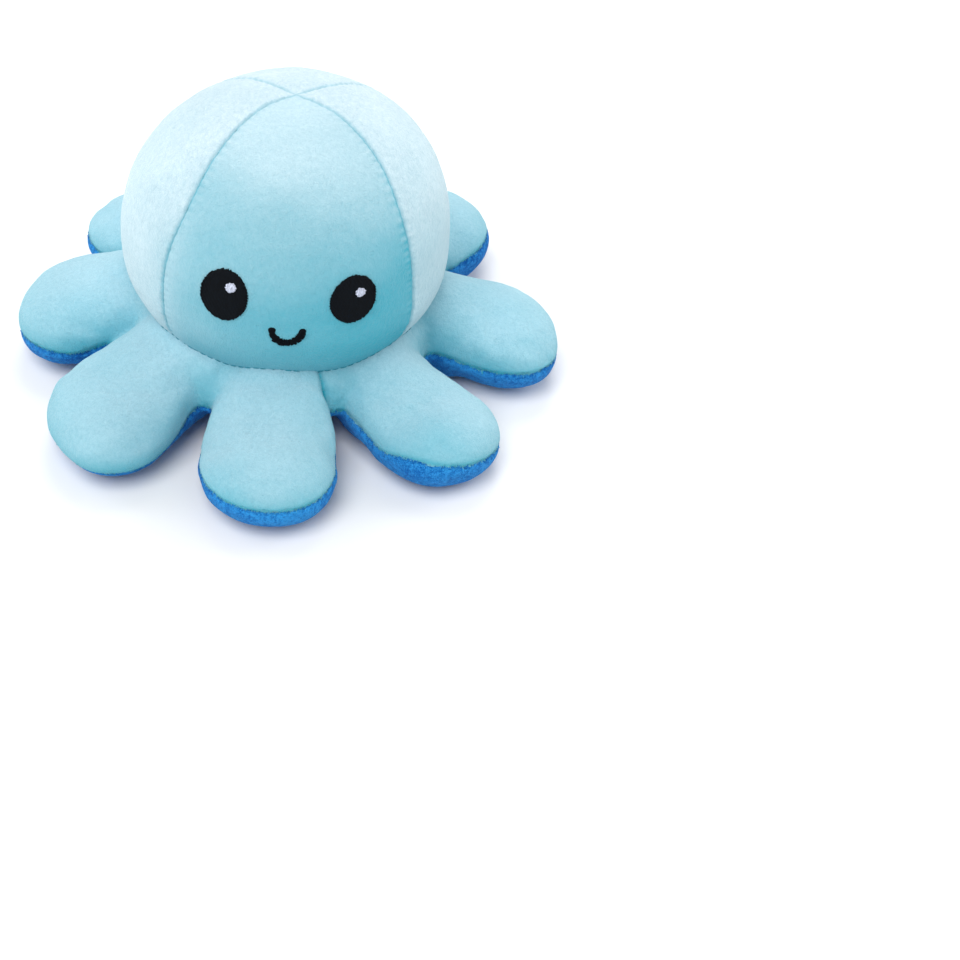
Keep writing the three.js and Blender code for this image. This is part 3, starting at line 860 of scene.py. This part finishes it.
def thread(name, colour, shine):
    """Twisted embroidery thread: fine ridges along each stitch, with a soft shine."""
    finish, tree, skin = new_finish(name, Specular_IOR_Level=0.1)
    place = add_node(tree, "TexCoord")
    stretch = add_node(tree, "Mapping", Scale=(1, 1, 0.18))
    ply = add_node(tree, "TexNoise", Scale=2600.0, Detail=2.0)
    tone = add_ramp(tree, [c * 0.6 for c in colour], [c * 1.5 for c in colour], 0.3, 0.75)
    gloss = add_node(tree, "MapRange", To_Min=shine, To_Max=shine + 0.25)
    ridge = add_node(tree, "Bump", Strength=0.5, Distance=0.0001)
    link_nodes(tree, [
        (place, "Object", stretch, "Vector"),
        (stretch, "Vector", ply, "Vector"),
        (ply, "Fac", tone, "Fac"),
        (tone, "Color", skin, "Base Color"),
        (ply, "Fac", gloss, "Value"),
        (gloss, "Result", skin, "Roughness"),
        (ply, "Fac", ridge, "Height"),
        (ridge, "Normal", skin, "Normal"),
    ])
    return finish


round_turn = np.linspace(-180, 180, NECK_TURNS)
down = np.linspace(head_dome.at_height(48), head_dome.along[-1] - 0.2, NECK_STEPS)
walk = on_head(round_turn[:, None], down[None, :])
sunk = bag_distance(walk).reshape(NECK_TURNS, NECK_STEPS) < 0.25
met = np.where(sunk.any(1), sunk.argmax(1), NECK_STEPS - 1)
line = walk.reshape(NECK_TURNS, NECK_STEPS, 3)[np.arange(NECK_TURNS), met]
line = (line + np.roll(line, 1, 0) + np.roll(line, -1, 0)) / 3
line[0] = line[-1]
gone = np.r_[0, np.cumsum(np.linalg.norm(np.diff(line, axis=0), axis=1))]
starts = np.arange(0, gone[-1] - STITCH, STITCH + STITCH_GAP)
jitter = np.random.default_rng(90).uniform(-0.25, 0.25, (2, len(starts)))
clock = [k * 2 * math.pi / STITCH_SIDES for k in range(STITCH_SIDES)]
points, polygons = [], []
for number, start in enumerate(starts):
    reach = start + jitter[0][number] + np.linspace(0, STITCH, STITCH_RINGS)
    spine = np.stack([np.interp(reach, gone, line[:, k]) for k in range(3)], 1)
    spine[:, 2] += 0.3 * jitter[1][number]
    ahead = spine[-1] - spine[0]
    ahead /= np.linalg.norm(ahead)
    beside = np.cross(ahead, (0, 0, 1))
    above = np.cross(beside, ahead)
    girth = STITCH_THICKNESS / 2 * np.sqrt(np.maximum(0.02, 1 - np.linspace(-1, 1, STITCH_RINGS) ** 4))
    first = len(points)
    for spot, size in zip(spine, girth):
        points += [spot + size * (math.cos(a) * beside + math.sin(a) * above) for a in clock]
    for ring in range(STITCH_RINGS - 1):
        for k in range(STITCH_SIDES):
            one, two = (first + ring * STITCH_SIDES + n % STITCH_SIDES for n in (k, k + 1))
            polygons.append((one, two, two + STITCH_SIDES, one + STITCH_SIDES))
    polygons.append(tuple(first + k for k in reversed(range(STITCH_SIDES))))
    polygons.append(tuple(len(points) - STITCH_SIDES + k for k in range(STITCH_SIDES)))
neck_stitches_and_crease_shade = new_piece("neck_stitches_and_crease_shade", points, polygons)
neck_stitches_and_crease_shade.data.materials.append(thread("teal_thread_and_crease_shade", (0.03, 0.235, 0.33), 0.6))
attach(neck_stitches_and_crease_shade, "body")

# Smiling face: satin stitches of black thread on the front gore, with a small round of white thread in each
# eye. Each stitch goes through the cloth at both ends, and they lie side by side, so the edges are toothed.
EYES = {"left": (-18.5, 67.1, 16.6, 19.4), "right": (25.8, 66.1, 16.6, 18.3)}
GLINTS = {"left": (-16.1, 70.9, 3.7), "right": (28.1, 68.8, 3.6)}
THREAD = 0.42
THREAD_RISE = 0.75
SATIN_BACK = 0.5
LANES = 400
FACE_STEP = 0.17
THREADS = {
    "black_thread": thread("black_thread", (0.0022, 0.0036, 0.0058), 0.65),
    "white_thread": thread("white_thread", (0.50, 0.54, 0.66), 0.45),
}


def sewn_on(surface, dome, turn, height, sideways, upwards, rise):
    """Points on a form at small distances sideways and upwards from a place on it."""
    along = dome.at_height(np.clip(height + upwards, dome.z[-1] + 0.01, dome.z[0] - 0.01))
    r = dome.place(along)[0]
    return surface(turn + np.degrees(np.arcsin(np.clip(sideways / r, -0.9, 0.9))), along, rise)


def sewn_piece(node, surface, spots, quads, slot):
    """Satin stitches as one closed piece, which faces the way of the cloth that it is sewn to."""
    out = outward(spots, quads)
    if out[:, 1].mean() * (-1 if surface is on_head else 1) < 0:
        quads, out = quads[:, ::-1], -out
    piece = cloth_piece(f"{node}_stitches", spots, out, quads, SATIN_BACK)
    piece.data.materials.append(THREADS[slot])
    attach(piece, "body")
    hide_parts(node)


def satin_patch(node, surface, dome, place, width, tall, slot, seed, lift=0.0, brow=None):
    """Upright satin stitches side by side over an oval, or over what lies under a brow across it."""
    rng = np.random.default_rng(seed)
    half_width = width / 2
    columns, lines = int(2.2 * half_width / FACE_STEP), int(14 / FACE_STEP)
    lean = np.linspace(-1, 1, columns)[:, None] * np.pi / 2 * 0.985
    across = half_width * np.sin(lean)
    lane = np.floor((across + 50) / THREAD).astype(int) % LANES
    teeth = rng.uniform(-0.32, 0.22, (2, LANES))
    edge = tall / 2 * np.sqrt(np.maximum(0, 1 - (2 * across / width) ** 2))
    top = edge if brow is None else np.minimum(edge, brow[0] + brow[1] * across)
    low, high = -edge - teeth[0][lane], top + teeth[1][lane]
    high = np.maximum(high, low + 0.1)
    share = (1 - np.cos(np.linspace(0, np.pi, lines)))[None, :] / 2
    upwards = low + (high - low) * share
    jag = 0.22 * np.sin(upwards * 6.1 + seed) + 0.14 * np.sin(upwards * 10.7)
    sideways = across + jag * np.abs(np.sin(lean)) ** 3
    inwards = np.minimum(np.minimum(upwards - low, high - upwards), half_width * (1 - np.abs(np.sin(lean))))
    body = np.clip(inwards / 0.9, 0, 1)
    ridge = 0.045 * np.cos(2 * np.pi * across / THREAD) + 0.05 * np.sin(upwards * 2.9 + lane * 2.1)
    rise = lift + THREAD_RISE * np.sqrt(body * (2 - body)) + ridge * body - 0.2 * (inwards < 0.02)
    at = [np.broadcast_to(part, upwards.shape).ravel() for part in (sideways, upwards, rise)]
    spots = sewn_on(surface, dome, *place, *at)
    sewn_piece(node, surface, spots, grid_faces(columns, lines), slot)


for side, (turn, height, width, tall) in EYES.items():
    place = (turn, height)
    satin_patch(f"smiling_{side}_eye", on_head, head_dome, place, width, tall, "black_thread", 11 + len(side))
    *place, width = GLINTS[side]
    satin_patch(
        f"smiling_{side}_glint", on_head, head_dome, place, width, width, "white_thread", 21 + len(side),
        lift=0.5,
    )


def satin_line(node, surface, dome, place, path, width):
    """A line of short stitches laid side by side across a path of (sideways, upwards) points."""
    path = np.asarray(path)
    gone = np.r_[0, np.cumsum(np.hypot(*np.diff(path, axis=0).T))]
    count = int(gone[-1] / FACE_STEP * 1.6)
    s = np.linspace(0, gone[-1], count)
    x, y = np.interp(s, gone, path[:, 0]), np.interp(s, gone, path[:, 1])
    dx, dy = np.gradient(x), np.gradient(y)
    size = np.hypot(dx, dy)
    nx, ny = -dy / size, dx / size
    stitch = np.floor(s / (THREAD * 1.25)).astype(int)
    rng = np.random.default_rng(5)
    left, right = rng.uniform(0.75, 1.3, 200), rng.uniform(0.75, 1.3, 200)
    to_end = np.minimum(s, gone[-1] - s) / (width / 2)
    ends = np.sqrt(np.maximum(0.02, 1 - (1 - to_end).clip(0) ** 2))
    across = np.linspace(-1, 1, 15)[:, None]
    uneven = np.where(across < 0, left[stitch % 200], right[stitch % 200])
    half = width / 2 * (1 + (uneven - 1) * smooth(to_end / 2)) * ends
    ridge = 0.16 * np.cos(2 * np.pi * s / (THREAD * 1.25))
    rise = (THREAD_RISE + ridge) * np.sqrt(np.maximum(0, 1 - across**4)) * np.minimum(1, ends + 0.2) - 0.1
    sideways, upwards = x + nx * across * half, y + ny * across * half
    spots = sewn_on(surface, dome, *place, sideways.ravel(), upwards.ravel(), rise.ravel())
    sewn_piece(node, surface, spots, grid_faces(len(across), count), "black_thread")


bow = np.linspace(0, np.pi, 60)
smile = np.stack([-5.1 * np.cos(bow) - 0.6 * np.sin(bow) - 0.25, 0.35 - 6.1 * np.sin(bow) ** 0.8], 1)
smile[:, 1] -= 0.04 * smile[:, 0]
satin_line("smiling_mouth", on_head, head_dome, (3.7, 56.9), smile, 2.6)

# Sulky face: the same satin stitches, through the cloth of the dark front gore inside the pocket.
# Half-moon eyes under straight brows that slope towards the middle, white glints and a mouth turned down.
SULKY_EYES = {"left": (-20.9, -1), "right": (28.9, 1)}
BROW_HEIGHT = 3.4
BROW_SLOPE = 0.29
for side, (turn, sign) in SULKY_EYES.items():
    satin_patch(
        f"sulky_{side}_eye", on_pocket, pocket_dome, (turn, 54.0), 16.4, 21.6, "black_thread", 31 + sign,
        brow=(BROW_HEIGHT, sign * BROW_SLOPE),
    )
    satin_patch(
        f"sulky_{side}_glint", on_pocket, pocket_dome, (turn + 3.6, 53.2), 4.0, 4.0, "white_thread",
        41 + sign, lift=0.5,
    )
frown = np.stack([-5.8 * np.cos(bow), 5.6 * np.sin(bow)], 1)
satin_line("sulky_mouth", on_pocket, pocket_dome, (4.0, 31.0), frown, 2.0)

# Stuffing: loose white fibre, pushed through a gap in a seam into the bag and between the two heads, where it
# lies in soft lumps. Nothing holds it but the cloth round it, and the gap is sewn shut.
STUFFING_STEP = 2.6
STUFFING_GAP = 2.2
POCKET_GAP = 1.6
SKIRT_FILL_REACH = 53.0
MOUTH_CLEARANCE = 31.5
ARM_FILL_START = 56.5


def fibre_fill():
    """Curled white fibre, as it shows where a seam is open."""
    finish, tree, skin = new_finish("white_fibre_fill", Roughness=1.0)
    place = add_node(tree, "TexCoord")
    curl = add_node(tree, "TexNoise", Scale=420.0, Detail=6.0)
    tone = add_ramp(tree, (0.62, 0.62, 0.60), (0.92, 0.92, 0.90))
    loft = add_node(tree, "Bump", Strength=0.8, Distance=0.0008)
    link_nodes(tree, [
        (place, "Object", curl, "Vector"),
        (curl, "Fac", tone, "Fac"),
        (tone, "Color", skin, "Base Color"),
        (curl, "Fac", loft, "Height"),
        (loft, "Normal", skin, "Normal"),
    ])
    return finish


white_fill = fibre_fill()


def dome_distance(spots, dome, grown):
    """Distance outside a dome that is grown by a margin, near enough for a filling."""
    radius, waist, rise, drop, upper, lower = dome.form
    r, z = from_axis(spots), spots[:, 2] - waist
    tall, power = np.where(z > 0, rise, drop) + grown, np.where(z > 0, upper, lower)
    size = ((r / (radius + grown)) ** power + (np.abs(z) / tall) ** power) ** (1 / power)
    return (size - 1) * np.minimum(radius + grown, tall)


def fill_piece(name, node, distance, low, high, seed):
    """A mass of fibre inside a form, with a lumpy surface."""
    spots, quads_here = net_round(distance, low, high, STUFFING_STEP)
    spots = settled(spots, quads_here, distance, 2)
    out_here = outward(spots, quads_here)
    spots = spots + out_here * (0.5 * lumps(spots, 6, seed) - 0.4)[:, None]
    piece = new_piece(name, spots, quads_here.tolist())
    piece.data.materials.append(white_fill)
    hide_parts(node)
    return piece


def body_fill(spots):
    """Distance outside the filling of the head and skirt, which leaves the pocket and its mouth free."""
    inset = CLOTH + STUFFING_GAP
    head = dome_distance(spots, head_dome, -inset)
    ring = np.maximum(bag_distance(spots, inset), from_axis(spots) - SKIRT_FILL_REACH)
    pocket = dome_distance(spots, pocket_dome, 2 * CLOTH + POCKET_GAP)
    mouth = np.maximum(from_axis(spots) - MOUTH_CLEARANCE, spots[:, 2] - 30)
    return np.maximum(np.minimum(head, ring), -np.minimum(pocket, mouth))


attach(fill_piece("body_fill", "body_stuffing", body_fill, (-60, -60, 0), (60, 60, 112), 61), "body")
for index, arm in enumerate(ARMS):
    along, aside = heading(45 * index)

    def arm_fill(spots, arm=arm, along=along, aside=aside):
        ahead, side = spots[:, :2] @ along, spots[:, :2] @ aside
        root_end = ARM_FILL_START - ahead
        beside = np.abs(side) - ahead * math.tan(math.radians(22.5)) + 1.2
        return np.maximum(np.maximum(bag_distance(spots, CLOTH + STUFFING_GAP), root_end), beside)

    spread = along * 76
    low, high = (spread[0] - 42, spread[1] - 42, 0), (spread[0] + 42, spread[1] + 42, 34)
    piece = fill_piece(f"arm_{arm}_fill", f"arm_{arm}_stuffing", arm_fill, low, high, 70 + index)
    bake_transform(piece)

# Table, light and camera: a plain white table top under a broad lamp above the toy's front left, with three
# softer ones behind it, and a bright room round it. The camera looks down on the toy from the front.
FLOOR = 6000.0
corners = [(x * FLOOR, y * FLOOR, 0) for x, y in ((-1, -1), (1, -1), (1, 1), (-1, 1))]
floor = new_piece("table_top", corners, [(0, 1, 2, 3)])
floor.data.materials.append(
    new_finish("white_table", Base_Color=(0.87, 0.875, 0.88, 1), Roughness=0.7, Specular_IOR_Level=0.2)[0]
)

world = bpy.data.worlds.new("studio")
bpy.context.scene.world = world
world.use_nodes = True
sky = world.node_tree
up_high = add_node(sky, "MapRange", From_Min=0.22, From_Max=0.5, To_Min=0.93, To_Max=0.42)
toward, height = add_node(sky, "TexCoord"), add_node(sky, "SeparateXYZ")
link_nodes(sky, [
    (toward, "Generated", height, "Vector"),
    (height, "Z", up_high, "Value"),
    (up_high, "Result", sky.nodes["Background"], "Strength"),
])
sky.nodes["Background"].inputs["Color"].default_value = (1, 1, 1, 1)


def lamp_at(name, kind, place, aim, power):
    """A lamp at a place, turned towards its aim."""
    lamp = bpy.data.lights.new(name, kind)
    lamp.energy = power
    holder = placed(name, lamp)
    holder.location = place
    holder.rotation_euler = (Vector(aim) - Vector(place)).to_track_quat("-Z", "Y").to_euler()
    return lamp


lamp_at("key_above", "SUN", (-0.24, -0.45, 1.0), (0, 0, 0.06), 2.1).angle = math.radians(42)
for name, place, power in (
    ("rim_left", (-0.8, 0.35, 0.55), 1.8),
    ("rim_right", (0.85, 0.3, 0.5), 2.6),
    ("top_back", (0.05, 0.6, 0.9), 3.2),
):
    box = lamp_at(name, "AREA", place, (0, 0, 0.07), power)
    box.shape, box.size = "DISK", 0.55

camera = placed("camera", bpy.data.cameras.new("camera"))
camera.data.lens = 68.51
camera.data.sensor_width = 36.0
camera.data.clip_start, camera.data.clip_end = 0.01, 50.0
pan, tilt, roll = math.radians(-5.906), math.radians(43.069), math.radians(6.655)
back = Vector((math.sin(pan) * math.cos(tilt), -math.cos(pan) * math.cos(tilt), math.sin(tilt)))
right = Vector((0, 0, 1)).cross(back).normalized()
up = back.cross(right)
right, up = right * math.cos(roll) + up * math.sin(roll), up * math.cos(roll) - right * math.sin(roll)
turned = Matrix((right, up, back)).transposed().to_4x4()
camera.matrix_world = Matrix.Translation((0.02383, -0.53304, 0.44063)) @ turned
bpy.context.scene.camera = camera
bpy.context.scene.view_settings.view_transform = "Standard"
